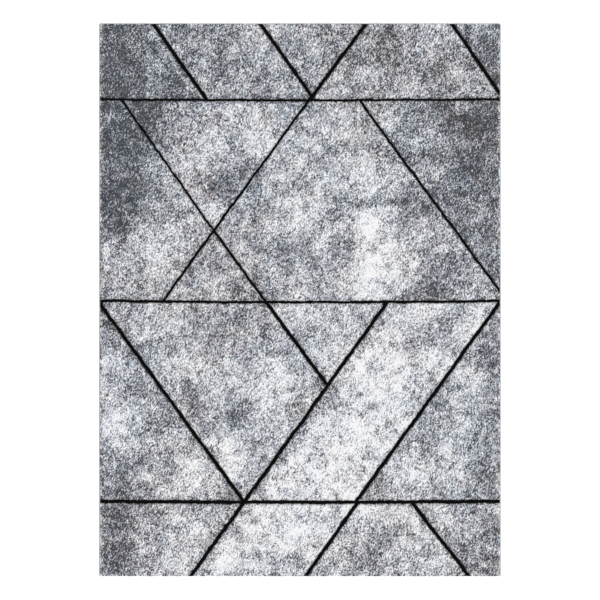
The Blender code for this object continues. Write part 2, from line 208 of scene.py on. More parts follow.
# The drawing keeps still up to this distance from the rug's edges, and strays freely this much further in
STILL_EDGE = 0.008
STILL_FADE = 0.02
# Points of a rim closer than this share of the tuft pitch are joined
RIM_SHARE = 0.35

DUST_COLOUR = (0.45, 0.43, 0.40, 1.0)
# Level above which the ground weave is painted near black, for the pile's root ends and the shade that falls
# under the pile, and over what height that begins
ROOT_SHADE_LEVEL = 0.0020
ROOT_SHADE_STEP = 0.0004
ROOT_SHADE_COLOUR = (0.030, 0.031, 0.034, 1.0)
# Warp pitches of the back and of the tape, columns of the plates, and how the height of their ribs varies
WARP_PITCH = 0.0016
TAPE_PITCH = 0.0011
GROUND_COLUMNS = 24
BACK_COLUMNS = 40
RIB_SIZE = 0.012
RIB_SHARE = 0.3
# The overlock: rings along one wrap, points round each, the share of the relief that wraps differ by, and
# where its rounded ends are cut off, as a share of the radius
WRAP_STEPS = 4
WRAP_SIDES = 12
WRAP_SHARE = 0.4
END_EASE = 0.02
# The cord: distance between rings, points round each, distance from the overlock's ends, and how deep the
# strands are laid, as the radius's least share and what a strand adds
CORD_STEP = 0.002
CORD_SIDES = 18
CORD_INSET = 0.004
CORD_CORE = 0.80
CORD_STRAND = 0.18
# The tape: places across it that have a point, roundings of its far edge, sections along it, sizes over which
# its edges stray, how far its far edge and its lip do, and from which share of its depth and height they do
TAPE_MARKS = (0.006, 0.012, 0.018, 0.024)
TAPE_ROUNDS = (0.0006, 0.0005)
TAPE_RINGS = 500
TAPE_STRAYS = (0.03, 0.008)
EDGE_STRAY = 0.0005
LIP_STRAY = 0.0003
EDGE_FROM = 0.9
LIP_FROM = 0.8
# A stitch: rings along it, points round each, level of its middle, and how many radii its ends dip
STITCH_RINGS = 6
STITCH_SIDES = 6
STITCH_LEVEL = 0.0001
STITCH_DIP = 1.6

# The map for baking: share of it and start of the view from above, and the same for the underside
MAP_ABOVE = (0.97, 0.001)
MAP_UNDER = (0.02, 0.975)
# The stage: floor's drop, size and tilts of the sun in degrees, and the camera's sensor in millimetres
FLOOR_DROP = 0.0005
SUN_SIZE = 25
SUN_TILTS = (28, 24)
SENSOR = 36.0

# Seeds of what varies at random, and how far apart the seeds of the two axes are
SEED_TUFT = 11
SEED_TINT = 12
SEED_HEIGHT = 13
SEED_JITTER = 14
SEED_WANDER = 20
SEED_TEAR = 30
SEED_MOTTLE = 40
SEED_WRAP = 40
SEED_BACK = 50
SEED_TAPE = 60
SEED_SHEAR = 63
SEED_RIPPLE = 69
SEED_CAST = 70
AXIS_SEEDS = 4
# Side of the table of random numbers
LATTICE = 1024
# How near a point must be to a side to lie on it, how near a side to the rug's edge to be part of it, and
# how square to it
ON_SIDE = 0.00005
AT_EDGE = 0.01
SQUARE = 0.999


def length(name, description, default, precision=4):
    """A property for a length in metres."""
    return bpy.props.FloatProperty(
        name=name, description=description, default=default, unit="LENGTH", precision=precision)


def paint(name, description, default):
    """A property for a colour."""
    return bpy.props.FloatVectorProperty(
        name=name, description=description, default=default, subtype="COLOR", min=0, max=1)


class RugPile(bpy.types.PropertyGroup):
    """The pile: how close the tufts stand, and how its edges are carved."""

    tuft_across: length("Tuft pitch across", "Distance from tuft to tuft across the rug", 0.0028)
    tuft_along: length("Tuft pitch along", "Distance from tuft to tuft along the rug", 0.0042)
    tuft_shift: bpy.props.FloatProperty(
        name="Tuft shift", description="How far a tuft leans from its place, as a share of the pitch",
        default=0.32, subtype="FACTOR")
    tuft_relief: length("Tuft relief", "How much higher or lower single tufts stand", 0.00055, 5)
    shear_relief: length(
        "Shear relief", "How much the sheared face rises and falls over a hand's width", 0.00035, 5)
    line_pitch: length("Line tuft pitch", "Distance from tuft to tuft in the low lines", 0.0022)
    line_relief: length(
        "Line tuft relief", "How much higher or lower single tufts of a low line stand", 0.0004, 5)
    shoulder: length("Carved shoulder", "Width over which the raised pile rounds off into a line", 0.0055)
    overhang: length("Overhang", "How far the pile leans out over the overlocks", 0.0014)
    weft_bow: length(
        "Weft bow", "How far the weft, and the drawing with it, sags between the sides", 0.0055)
    # Painted shade: the pile's colour is darkened this far in from a carved edge
    shade_reach: length("Shade reach", "How far in from a carved edge the pile looks darker", 0.0075)
    wander: length("Wander", "How far the edges of the lines stray from straight", 0.0013)


class RugColours(bpy.types.PropertyGroup):
    """The yarns of the pile and of the edges, and the cloths of the back."""

    slate: paint("Slate", "Dark blue-grey yarn of the heather", (0.042, 0.048, 0.058))
    charcoal: paint("Charcoal", "Dark neutral yarn of the heather", (0.047, 0.046, 0.048))
    cool_grey: paint("Cool grey", "Middle yarn of the heather with a blue cast", (0.285, 0.325, 0.385))
    warm_grey: paint("Warm grey", "Middle yarn of the heather with a lilac cast", (0.368, 0.350, 0.375))
    cool_white: paint("Cool white", "Light yarn of the heather with a blue cast", (0.790, 0.810, 0.845))
    warm_white: paint("Warm white", "Light yarn of the heather with no cast", (0.845, 0.830, 0.830))
    black: paint("Black", "Yarn of the low lines", (0.0018, 0.0018, 0.0020))
    overlock: paint("Overlock", "Yarn whipped round the long sides", (0.46, 0.46, 0.47))
    cord: paint("Cord", "Filler cord inside the overlock", (0.62, 0.56, 0.45))
    jute: paint("Jute", "Weft of the ground weave", (0.42, 0.33, 0.22))
    sizing: paint("Sizing", "Latex coat under the ground weave", (0.56, 0.53, 0.47))
    tape: paint("Tape", "Finishing tape under the short ends", (0.60, 0.60, 0.62))
    thread: paint("Thread", "Sewing thread of the tape", (0.70, 0.70, 0.70))


class RugEdges(bpy.types.PropertyGroup):
    """The overlock and its cord, the cloths of the back, and the tape's stitches."""

    wrap_pitch: length("Wrap pitch", "Distance from one wrap of the overlock to the next", 0.0022)
    wrap_relief: length("Wrap relief", "Depth of the valley between two wraps", 0.00035, 5)
    cord_plies: bpy.props.IntProperty(
        name="Cord plies", description="Strands laid together in the side cord", default=3)
    cord_lay: length("Cord lay", "Length of one full turn of the side cord's strands", 0.018)
    weft_pitch: length("Weft pitch", "Distance from one weft rib to the next", 0.0044)
    weft_relief: length("Weft relief", "Height of a weft rib", 0.00025, 5)
    stitch_pitch: length("Stitch pitch", "Distance from one stitch to the next", 0.006)
    stitch_share: bpy.props.FloatProperty(
        name="Stitch share", description="How much of the pitch a stitch shows", default=0.7,
        subtype="FACTOR")
    thread_diameter: length("Thread diameter", "Diameter of the sewing thread", 0.0006, 5)
    stitch_inset: length("Stitch inset", "Distance from a stitch row to the tape's edge", 0.004)


class RugStage(bpy.types.PropertyGroup):
    """The floor, the light and the camera."""

    view_width: length("View width", "Width of floor that the camera sees", 2.385, 2)
    lens: bpy.props.FloatProperty(
        name="Lens", description="Focal length of the camera in millimetres", default=85.0)
    floor_size: length("Floor size", "Length of each side of the floor", 120.0, 2)
    floor_colour: paint("Floor colour", "Paint of the floor", (0.94, 0.94, 0.94))
    sky_strength: bpy.props.FloatProperty(
        name="Sky strength", description="Brightness of the even light from all round", default=0.90)
    key_strength: bpy.props.FloatProperty(
        name="Key strength", description="Brightness of the soft light from above", default=1.70)


# ---------------------------------------------------------------- helpers for shapes


def settings(kind):
    """One of the property groups, as the scene holds it."""
    return getattr(bpy.context.scene, kind)


def lattice(seed):
    """A square table of even random numbers from 0 to 1, the same each time for a seed."""
    return np.random.default_rng(seed).random((LATTICE, LATTICE))


def at_tufts(points, pitch, seed):
    """One random number from 0 to 1 for the tuft that each point belongs to."""
    cell = np.rint(points / pitch).astype(int) % LATTICE
    return lattice(seed)[cell[:, 0], cell[:, 1]]


def swing(points, pitch, seed):
    """One random number from -1 to 1 for the tuft that each point belongs to."""
    return (at_tufts(points, pitch, seed) - 0.5) * 2


def drift(points, size, seed):
    """Smooth noise from -1 to 1 that turns over about the given size."""
    table = lattice(seed) * 2 - 1
    place = points / size
    cell = np.floor(place).astype(int)
    part = place - cell
    part = part * part * (3 - 2 * part)
    x0, y0 = cell[:, 0] % LATTICE, cell[:, 1] % LATTICE
    x1, y1 = (x0 + 1) % LATTICE, (y0 + 1) % LATTICE
    low = table[x0, y0] * (1 - part[:, 0]) + table[x1, y0] * part[:, 0]
    high = table[x0, y1] * (1 - part[:, 0]) + table[x1, y1] * part[:, 0]
    return low * (1 - part[:, 1]) + high * part[:, 1]


def drifts(points, steps, seed):
    """Smooth noise of several sizes, each with its share, added up."""
    return sum(drift(points, size, seed + step) * share for step, (size, share) in enumerate(steps))


def outline_of(name):
    """The corners of a CAD piece's lower face, in order round it."""
    points = np.array([v.co[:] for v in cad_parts[name].data.vertices])
    low = points[points[:, 2] < points[:, 2].min() + ON_SIDE, :2]
    corners = np.unique(np.round(low, 6), axis=0)
    spokes = corners - corners.mean(0)
    return corners[np.argsort(np.arctan2(spokes[:, 1], spokes[:, 0]))]


def sides_of(outline):
    """A point on each side of a convex outline, and the level direction that points inwards from it."""
    along = np.roll(outline, -1, axis=0) - outline
    along /= np.linalg.norm(along, axis=1)[:, None]
    return outline, np.stack([-along[:, 1], along[:, 0]], axis=1)


def insets(points, sides):
    """How far inside each side of an outline each point lies."""
    starts, inwards = sides
    return np.einsum("psk,sk->ps", points[:, None, :] - starts[None], inwards)


def tuft_sheet(outline, pitch, shift):
    """A grid with a point on each tuft over the outline's box, each point moved a little at random."""
    low = np.floor(outline.min(0) / pitch).astype(int) - 1
    high = np.ceil(outline.max(0) / pitch).astype(int) + 1
    count = high - low
    sheet = bmesh.new()
    bmesh.ops.create_grid(sheet, x_segments=int(count[0]), y_segments=int(count[1]), size=0.5)
    size = count * pitch
    middle = (low + high) / 2 * pitch
    bmesh.ops.scale(sheet, vec=(size[0], size[1], 1), verts=sheet.verts)
    bmesh.ops.translate(sheet, vec=(middle[0], middle[1], 0), verts=sheet.verts)
    places = np.array([v.co[:2] for v in sheet.verts])
    moves = [swing(places, pitch, SEED_JITTER + axis) * shift * pitch[axis] for axis in (0, 1)]
    for vert, place in zip(sheet.verts, places + np.stack(moves, axis=1)):
        vert.co.xy = place
    return sheet


def clip(sheet, sides, inset):
    """Keeps the part of a sheet that lies inside every side of an outline by at least the inset."""
    for start, inward in zip(*sides):
        point = start + inward * inset
        bmesh.ops.bisect_plane(
            sheet, geom=sheet.verts[:] + sheet.edges[:] + sheet.faces[:],
            plane_co=(point[0], point[1], 0), plane_no=(-inward[0], -inward[1], 0), clear_outer=True)


def thin_rim(sheet, sides, inset, reach):
    """Joins the points of a sheet's rim that lie too close together, and keeps its corners."""
    rim = [vert for vert in sheet.verts if vert.is_boundary]
    gaps = insets(np.array([vert.co[:2] for vert in rim]), sides)
    corner = (np.abs(gaps - inset) < ON_SIDE).sum(axis=1) > 1
    kept = [vert for vert, keep in zip(rim, corner) if keep]
    doubles = bmesh.ops.find_doubles(sheet, verts=rim, keep_verts=kept, dist=reach)
    bmesh.ops.weld_verts(sheet, targetmap=doubles["targetmap"])


def step_out(point, sides, inset, new_inset):
    """A point of the loop at one inset, moved to its place on the loop at another."""
    _, inwards = sides
    gaps = insets(point[None], sides)[0]
    nearest = np.argsort(np.abs(gaps - inset))[:2]
    first, second = nearest
    if abs(gaps[second] - inset) > ON_SIDE:
        return point + inwards[first] * (new_inset - gaps[first])
    return point + np.linalg.solve(inwards[nearest], new_inset - gaps[nearest])


def add_walls(sheet, sides, profile):
    """Carries the sheet's rim out and down through each (inset, drop) of a profile, and fills it below."""
    ring = sheet.verts.layers.int.new("ring")
    inset, _ = profile[0]
    rim = [edge for edge in sheet.edges if edge.is_boundary]
    for number, (new_inset, _) in enumerate(profile[1:], start=1):
        made = bmesh.ops.extrude_edge_only(sheet, edges=rim)["geom"]
        for vert in (item for item in made if isinstance(item, bmesh.types.BMVert)):
            vert[ring] = number
            vert.co.xy = step_out(np.array(vert.co.xy), sides, inset, new_inset)
        rim = [item for item in made if isinstance(item, bmesh.types.BMEdge) and item.is_boundary]
        inset = new_inset
    # A known fault: a rim that touches itself at a sharp corner isn't filled, as under line_head_first
    bmesh.ops.edgeloop_fill(sheet, edges=rim)


def warp(points):
    """Where the drawing really lies: bowed with the weft, and straying a little from tuft to tuft."""
    pile = settings("rug_pile")
    across = points[:, 0] / HALF_WIDTH
    along = points[:, 1] / HALF_LENGTH
    bow = pile.weft_bow * (across**2 - 1 / 3) * (1 - along**4)
    reach = np.minimum(HALF_WIDTH - np.abs(points[:, 0]), HALF_LENGTH - np.abs(points[:, 1]))
    free = np.clip((reach - STILL_EDGE) / STILL_FADE, 0, 1)
    moved = points.copy()
    for axis in (0, 1):
        moved[:, axis] += drifts(points, STRAYS, SEED_WANDER + AXIS_SEEDS * axis) * pile.wander * free
    moved[:, 1] += bow
    return moved


def store(mesh, name, values):
    """Keeps a number for each point of a mesh, for its material to read."""
    mesh.attributes.new(name=name, type="FLOAT", domain="POINT").data.foreach_set(
        "value", np.asarray(values, np.float32))


def bake_map(mesh, flat, under):
    """Lays a map for baking: the view from above fills nearly all of it, and the faces in under a strip."""
    low = flat.min(0)
    span = (flat.max(0) - low).max()
    corners = np.empty(len(mesh.loops), np.int32)
    mesh.loops.foreach_get("vertex_index", corners)
    share, start = MAP_ABOVE
    places = (flat[corners] - low) / (flat.max(0) - low) * share + start
    hidden = np.zeros(len(mesh.loops), bool)
    for polygon in under:
        hidden[polygon.loop_start:polygon.loop_start + polygon.loop_total] = True
    share, start = MAP_UNDER
    places[hidden] = (flat[corners][hidden] - low) / span * share + start
    layer = mesh.uv_layers.new(name="OFBake")
    layer.uv.foreach_set("vector", places.astype(np.float32).ravel())


def finish_piece(name, mesh, material, slot, *nodes):
    """Puts a made mesh in the scene for the CAD nodes that it stands for."""
    piece = bpy.data.objects.new(name, mesh)
    bpy.context.scene.collection.objects.link(piece)
    mesh.materials.append(material)
    mesh.shade_smooth()
    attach(piece, BODY)
    if nodes:
        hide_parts(*nodes)
    return piece


def new_mesh(name, points, faces):
    """A mesh of points and faces."""
    mesh = bpy.data.meshes.new(name)
    mesh.from_pydata(points, [], faces)
    mesh.update()
    return mesh


def tube_faces(rings, sides):
    """Faces of a tube with closed ends, over rings of points one after the other."""
    index = np.arange(rings * sides).reshape(rings, sides)
    here, there = index[:-1], index[1:]
    quads = np.stack(
        [here, there, np.roll(there, -1, axis=1), np.roll(here, -1, axis=1)], axis=2).reshape(-1, 4)
    return quads.tolist() + [index[0].tolist(), index[-1][::-1].tolist()]


# ---------------------------------------------------------------- helpers for materials


def put(tree, kind, **values):
    """A new node of a tree, with its properties and its sockets' values set by name."""
    node = tree.nodes.new("ShaderNode" + kind)
    for name, value in values.items():
        if hasattr(node, name):
            setattr(node, name, value)
        else:
            node.inputs[name.replace("_", " ")].default_value = value
    return node


def wire(tree, value, socket):
    """Joins a socket to another, or sets a plain value on it."""
    if isinstance(value, bpy.types.NodeSocket):
        tree.links.new(value, socket)
    else:
        socket.default_value = value


def reckon(tree, operation, *values, kind="Math"):
    """A Math or VectorMath node over sockets or plain values, and its result."""
    node = put(tree, kind, operation=operation)
    for value, socket in zip(values, node.inputs):
        wire(tree, value, socket)
    return node.outputs[0]


def on_piece(tree):
    """Where a point lies on its piece."""
    return put(tree, "TexCoord").outputs["Object"]


def split(tree, value):
    """The three parts of a place or colour."""
    node = put(tree, "SeparateXYZ")
    wire(tree, value, node.inputs[0])
    return node.outputs


def texture(tree, kind, place, scale, **values):
    """A texture node over a place."""
    node = put(tree, "Tex" + kind, **values)
    wire(tree, place, node.inputs["Vector"])
    wire(tree, scale, node.inputs["Scale"])
    return node.outputs


def blend(tree, factor, low, high):
    """A mix of two colours, and its result."""
    node = put(tree, "Mix", data_type="RGBA")
    wire(tree, factor, node.inputs[0])
    wire(tree, low, node.inputs[6])
    wire(tree, high, node.inputs[7])
    return node.outputs[2]


def ramp(tree, value, low, high):
    """A smooth step from 0 at low to 1 at high."""
    node = put(tree, "MapRange", interpolation_type="SMOOTHSTEP")
    wire(tree, value, node.inputs["Value"])
    wire(tree, low, node.inputs["From Min"])
    wire(tree, high, node.inputs["From Max"])
    return node.outputs["Result"]


def new_group(name, takes, gives):
    """An empty node group with named inputs, each with its kind and default, and named outputs."""
    group = bpy.data.node_groups.new(name, "ShaderNodeTree")
    for label, kind, default in takes:
        socket = group.interface.new_socket(name=label, in_out="INPUT", socket_type="NodeSocket" + kind)
        socket.default_value = default
    for label, kind in gives:
        group.interface.new_socket(name=label, in_out="OUTPUT", socket_type="NodeSocket" + kind)
    return group, group.nodes.new("NodeGroupInput").outputs, group.nodes.new("NodeGroupOutput").inputs


def fibre_grain(name):
    """Fine fibres: a noise drawn out along one direction."""
    group, takes, gives = new_group(
        name, [("Scale", "Float", 900.0), ("Stretch", "Vector", (1.0, 1.0, 1.0))],
        [("Fibre", "Float"), ("Clump", "Float")])
    drawn = reckon(group, "MULTIPLY", on_piece(group), takes["Stretch"], kind="VectorMath")
    fine = texture(group, "Noise", drawn, takes["Scale"], Detail=2.0, Roughness=0.6)
    clump = texture(group, "Noise", drawn, reckon(group, "MULTIPLY", takes["Scale"], 0.3), Detail=1.0)
    wire(group, fine["Fac"], gives["Fibre"])
    wire(group, clump["Fac"], gives["Clump"])
    return group


def tuft_ends(name):
    """Cut ends of tufts: cells of one height and shade each, and a mask of the gaps between them, where the
    pile is painted darker as shade.
    """
    group, takes, gives = new_group(
        name, [("Pitch", "Vector", (0.003, 0.003, 1.0))], [("Cell", "Float"), ("Gap", "Float")])
    place = on_piece(group)
    ragged = texture(group, "Noise", place, scale=900.0, noise_dimensions="2D", Detail=1.0)
    cells = reckon(group, "DIVIDE", place, takes["Pitch"], kind="VectorMath")
    torn = reckon(group, "MULTIPLY_ADD", ragged["Color"], RAGGED, cells, kind="VectorMath")
    cell, gap = (
        texture(group, "Voronoi", torn, scale=1.0, voronoi_dimensions="2D", feature=feature)
        for feature in ("F1", "DISTANCE_TO_EDGE"))
    wire(group, split(group, cell["Color"])[0], gives["Cell"])
    wire(group, ramp(group, gap["Distance"], 0.0, GAP_WIDTH), gives["Gap"])
    return group


def room_wear(name):
    """Handling and dust: a slow mottling of colour and of roughness."""
    group, takes, gives = new_group(
        name, [("Color", "Color", (0.5, 0.5, 0.5, 1.0)), ("Amount", "Float", 0.1)],
        [("Color", "Color"), ("Roughness", "Float")])
    slow = texture(group, "Noise", on_piece(group), scale=7.0, Detail=4.0, Roughness=0.6)
    level = ramp(group, slow["Fac"], 0.3, 0.7)
    dust = reckon(group, "MULTIPLY", level, takes["Amount"])
    wire(group, blend(group, dust, takes["Color"], DUST_COLOUR), gives["Color"])
    wire(group, reckon(group, "MULTIPLY_ADD", level, 0.08, 0.88), gives["Roughness"])
    return group


def plain_weave(name):
    """Plain weave: ribs across and along that pass over each other by turns."""
    group, takes, gives = new_group(
        name, [("Warp Pitch", "Float", 0.003), ("Weft Pitch", "Float", 0.004)],
        [("Height", "Float"), ("Warp", "Float")])
    place = split(group, on_piece(group))
    waves = []
    for axis, pitch in (("X", "Warp Pitch"), ("Y", "Weft Pitch")):
        turn = reckon(group, "DIVIDE", place[axis], takes[pitch])
        waves.append(reckon(group, "SINE", reckon(group, "MULTIPLY", turn, math.pi)))
    over = ramp(group, reckon(group, "MULTIPLY", *waves), -0.25, 0.25)
    ribs = [reckon(group, "ABSOLUTE", wave) for wave in waves]
    height = put(group, "Mix")
    wire(group, over, height.inputs[0])
    wire(group, ribs[1], height.inputs[2])
    wire(group, ribs[0], height.inputs[3])
    wire(group, height.outputs[0], gives["Height"])
    wire(group, over, gives["Warp"])
    return group


def heather_yarns(name):
    """Heather yarns: dark, middle and light tufts, mixed by how light the cloth is dyed there."""
    group, takes, gives = new_group(
        name, [(label, "Float", 0.5) for label in ("Tone", "Tuft", "Cell", "Tint")]
        + [(yarn, "Color", (0.5, 0.5, 0.5, 1.0)) for yarn in YARNS],
        [("Color", "Color")])
    yarn = YARN_START - (TUFT_SHARE + CELL_SHARE) / 2
    for label, share in (("Tone", TONE_SHARE), ("Tuft", TUFT_SHARE), ("Cell", CELL_SHARE)):
        yarn = reckon(group, "MULTIPLY_ADD", takes[label], share, yarn)
    tint = ramp(group, takes["Tint"], *TINT_STEP)
    dark = blend(group, tint, takes["Charcoal"], takes["Slate"])
    middle = blend(group, tint, takes["Warm Grey"], takes["Cool Grey"])
    light = blend(group, tint, takes["Warm White"], takes["Cool White"])
    mixed = blend(group, ramp(group, yarn, *MIDDLE_STEP), dark, middle)
    wire(group, blend(group, ramp(group, yarn, *LIGHT_STEP), mixed, light), gives["Color"])
    return group


def place_group(tree, build, **values):
    """A node for a shared group, which is built under its function's name when it is first asked for."""
    node = tree.nodes.new("ShaderNodeGroup")
    node.node_tree = bpy.data.node_groups.get(build.__name__) or build(build.__name__)
    for name, value in values.items():
        wire(tree, value, node.inputs[name.replace("_", " ")])
    return node


def new_material(name, sheen=0.0, specular=0.25):
    """A material with its shader's plain values set, ready for its colour, roughness and bump."""
    material = bpy.data.materials.new(name)
    material.use_nodes = True
    shader = material.node_tree.nodes["Principled BSDF"]
    shader.inputs["Specular IOR Level"].default_value = specular
    shader.inputs["Sheen Weight"].default_value = sheen
    shader.inputs["Sheen Roughness"].default_value = 0.5
    return material, material.node_tree, shader


def add_bump(tree, shader, height, distance, strength):
    """Wires a height to a shader's normal."""
    bump = put(tree, "Bump", Strength=strength, Distance=distance)
    wire(tree, height, bump.inputs["Height"])
    wire(tree, bump.outputs["Normal"], shader.inputs["Normal"])


def add_colour(tree, shader, tint, shade, dust):
    """Wires a colour, made lighter or darker by a shade and dusted, to a shader, with its roughness."""
    shaded = put(tree, "VectorMath", operation="SCALE")
    wire(tree, tint, shaded.inputs[0])
    wire(tree, shade, shaded.inputs["Scale"])
    wear = place_group(tree, room_wear, Color=shaded.outputs[0], Amount=dust)
    wire(tree, wear.outputs["Color"], shader.inputs["Base Color"])
    wire(tree, wear.outputs["Roughness"], shader.inputs["Roughness"])


def shade_by(tree, *masks):
    """How light a surface is: the product of masks, each with its share and the least that it leaves."""
    shade = 1.0
    for mask, share, least in masks:
        shade = reckon(tree, "MULTIPLY", shade, reckon(tree, "MULTIPLY_ADD", mask, share, least))
    return shade


def colour(name):
    """A yarn's or cloth's colour, for a socket."""
    return (*getattr(settings("rug_colours"), name), 1.0)


def read(tree, attribute):
    """The number that a mesh keeps for each point under a name."""
    return put(tree, "Attribute", attribute_name=attribute).outputs["Fac"]


def heather_material():
    """Heather pile: tufts of six yarns, with painted shade in the gaps between them and near the carved
    edges.
    """
    material, tree, shader = new_material("heather_pile", sheen=0.06, specular=0.15)
    pile = settings("rug_pile")
    fibre = place_group(tree, fibre_grain, Scale=1800.0, Stretch=(1.0, 1.0, 0.3))
    cell = (pile.tuft_across * CELL_ACROSS, pile.tuft_along * CELL_ALONG, 1.0)
    ends = place_group(tree, tuft_ends, Pitch=cell)
    heather = place_group(
        tree, heather_yarns, Tone=read(tree, "tone"), Tuft=read(tree, "tuft"), Tint=read(tree, "tint"),
        Cell=ends.outputs["Cell"], **{yarn: colour(yarn.replace(" ", "_").lower()) for yarn in YARNS})
    # Painted shade near carved edges and in the gaps between tufts, with the fibres' grain
    shade = shade_by(
        tree, (read(tree, "open"), 0.45, 0.55), (ends.outputs["Gap"], 0.30, 0.75),
        (fibre.outputs["Fibre"], 0.9, 0.58))
    add_colour(tree, shader, heather.outputs["Color"], shade, dust=0.02)
    height = reckon(tree, "MULTIPLY_ADD", fibre.outputs["Fibre"], 0.5, ends.outputs["Gap"])
    add_bump(tree, shader, height, distance=0.0006, strength=0.6)
    return material


def yarn_material(name, yarn, scale, stretch, dust, depth, attribute=None, sheen=0.05, specular=0.2):
    """Yarn of one colour: fibres that vary it, an attribute that varies it more, and dust."""
    material, tree, shader = new_material(name, sheen=sheen, specular=specular)
    fibre = place_group(tree, fibre_grain, Scale=scale, Stretch=stretch)
    masks = [(fibre.outputs["Clump"], 0.5, 0.7)]
    if attribute:
        masks.append((read(tree, attribute), 0.3, 0.85))
    add_colour(tree, shader, colour(yarn)[:3], shade_by(tree, *masks), dust)
    add_bump(tree, shader, fibre.outputs["Fibre"], depth, strength=0.6)
    return material


def cloth_material(name, warp, weft, pitches, dust, depth, root_shaded=False):
    """Plain-woven cloth of two yarns, with fibres and dust, and, where asked, painted near black along its
    upper face for the pile's root ends and the shade under the pile.
    """
    material, tree, shader = new_material(name, sheen=0.04, specular=0.2)
    weave = place_group(tree, plain_weave, Warp_Pitch=pitches[0], Weft_Pitch=pitches[1])
    fibre = place_group(tree, fibre_grain, Scale=900.0, Stretch=(0.35, 1.0, 1.0))
    yarns = blend(tree, weave.outputs["Warp"], colour(weft), colour(warp))
    # Painted shade: above a level the weave turns near black, for the pile's root ends and the shade under
    # the pile
    if root_shaded:
        level = split(tree, on_piece(tree))["Z"]
        root_shade = ramp(tree, level, ROOT_SHADE_LEVEL, ROOT_SHADE_LEVEL + ROOT_SHADE_STEP)
        yarns = blend(tree, root_shade, yarns, ROOT_SHADE_COLOUR)
    add_colour(tree, shader, yarns, shade_by(tree, (fibre.outputs["Clump"], 0.6, 0.65)), dust)
    height = reckon(tree, "MULTIPLY_ADD", fibre.outputs["Fibre"], 0.3, weave.outputs["Height"])
    add_bump(tree, shader, height, depth, strength=0.8)
    return material


# ---------------------------------------------------------------- pile


def tone_at(points, name):
    """How light each point of a raised field is: its dye, with painted shade along some of its lines."""
    base, clouds = CLOUDS[name]
    torn = points.copy()
    for axis in (0, 1):
        torn[:, axis] += drifts(points, TEARS, SEED_TEAR + AXIS_SEEDS * axis)
    tone = np.full(len(points), base)
    for x, y, reach, lift in clouds:
        away = ((torn[:, 0] - x) ** 2 + (torn[:, 1] - y) ** 2) / reach**2
        tone += lift * np.exp(-away / 2)
    # Painted shade along one side of some lines, for the carved shoulders
    for x0, y0, x1, y1, reach, lift in SHADE_STREAKS.get(name, ()):
        start = np.array((x0, y0))
        run = np.array((x1, y1)) - start
        part = np.clip((torn - start) @ run / (run @ run), 0, 1)
        away = ((torn - start - part[:, None] * run) ** 2).sum(axis=1) / reach**2
        tone += lift * np.exp(-away / 2)
    rims = (
        (WEAVE_HIGH.x - np.abs(points[:, 0]), SIDE_RIM),
        (WEAVE_HIGH.y - points[:, 1], HEAD_RIM),
        (points[:, 1] - WEAVE_LOW.y, FOOT_RIM))
    for gap, (rim_tone, share, reach) in rims:
        tone += (rim_tone - tone) * share * np.exp(-((gap / reach) ** 2))
    return tone + drifts(points, MOTTLE, SEED_MOTTLE) * (1 + np.clip(tone - LIGHT_TONE, 0, LIGHT_RANGE))


def outer_sides(sides):
    """Which sides of an outline are the rug's own long sides, and which are its ends."""
    starts, inwards = sides
    square = np.abs(inwards) > SQUARE
    outside = np.abs(starts) > np.array((HALF_WIDTH, HALF_LENGTH)) - AT_EDGE
    return (square & outside).T


def openness(places, sides):
    """How open the pile is to the light, from 0 at a carved edge to 1 a few tufts away from it, for the
    painted shade near carved edges.
    """
    on_side, on_end = outer_sides(sides)
    gaps = insets(places, sides)[:, ~(on_side | on_end)].min(1)
    part = np.clip(gaps / settings("rug_pile").shade_reach, 0, 1)
    return part * part * (3 - 2 * part)


def lean_out(places, depth, drop, sides):
    """How far the pile of the rug's own long sides leans out over the overlock at each depth."""
    _, inwards = sides
    gaps = insets(places, sides)
    overhang = settings("rug_pile").overhang
    lean = np.interp(drop / depth, LEAN_DEPTHS, LEAN_SHARES)
    moved = np.zeros_like(places)
    on_side, _ = outer_sides(sides)
    for side in np.flatnonzero(on_side):
        near = np.clip(1 - gaps[:, side] / LEAN_REACH, 0, 1)
        moved -= inwards[side] * (near * lean * overhang)[:, None]
    return moved


def tuft_mesh(name, sides, pitch, profile):
    """A mesh with a point for each tuft and walls down a profile, and each point's step of the profile."""
    sheet = tuft_sheet(sides[0], pitch, settings("rug_pile").tuft_shift)
    clip(sheet, sides, profile[0][0])
    thin_rim(sheet, sides, profile[0][0], pitch.min() * RIM_SHARE)
    add_walls(sheet, sides, profile)
    bmesh.ops.recalc_face_normals(sheet, faces=sheet.faces)
    mesh = bpy.data.meshes.new(name)
    sheet.to_mesh(mesh)
    sheet.free()
    ring = np.empty(len(mesh.vertices), np.int32)
    mesh.attributes["ring"].data.foreach_get("value", ring)
    mesh.attributes.remove(mesh.attributes["ring"])
    return mesh, ring


def tuft_block(name, pitch, relief, edge, slow):
    """A block of pile in the shape of a CAD piece, and where each of its points lay at first."""
    low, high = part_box(name)
    depth = high.z - low.z
    profile = [(inset, depth * drop) for inset, drop in edge]
    sides = sides_of(outline_of(name))
    mesh, ring = tuft_mesh(name, sides, pitch, profile)
    points = np.empty(len(ring) * 3)
    mesh.vertices.foreach_get("co", points)
    points = points.reshape(-1, 3)
    places = points[:, :2].copy()
    drop = np.array([step[1] for step in profile])[ring]
    bottom = ring == len(profile) - 1
    rise = swing(places, pitch, SEED_HEIGHT) * relief + drift(places, SHEAR_SIZE, SEED_SHEAR) * slow
    points[:, 2] = np.where(bottom, low.z, high.z - drop + rise * (1 - drop / depth))
    points[:, :2] = warp(places) + lean_out(places, depth, drop, sides)
    mesh.vertices.foreach_set("co", points.ravel())
    store(mesh, "tuft", at_tufts(places, pitch, SEED_TUFT))
    store(mesh, "tint", at_tufts(places, pitch, SEED_TINT) + drifts(places, CASTS, SEED_CAST))
    store(mesh, "open", openness(places, sides))
    under = [face for face in mesh.polygons if bottom[list(face.vertices)].all()]
    outward = -sides[1][insets(places, sides).argmin(1)]
    bake_map(mesh, places + outward * drop[:, None], under)
    mesh.update()
    return mesh, places


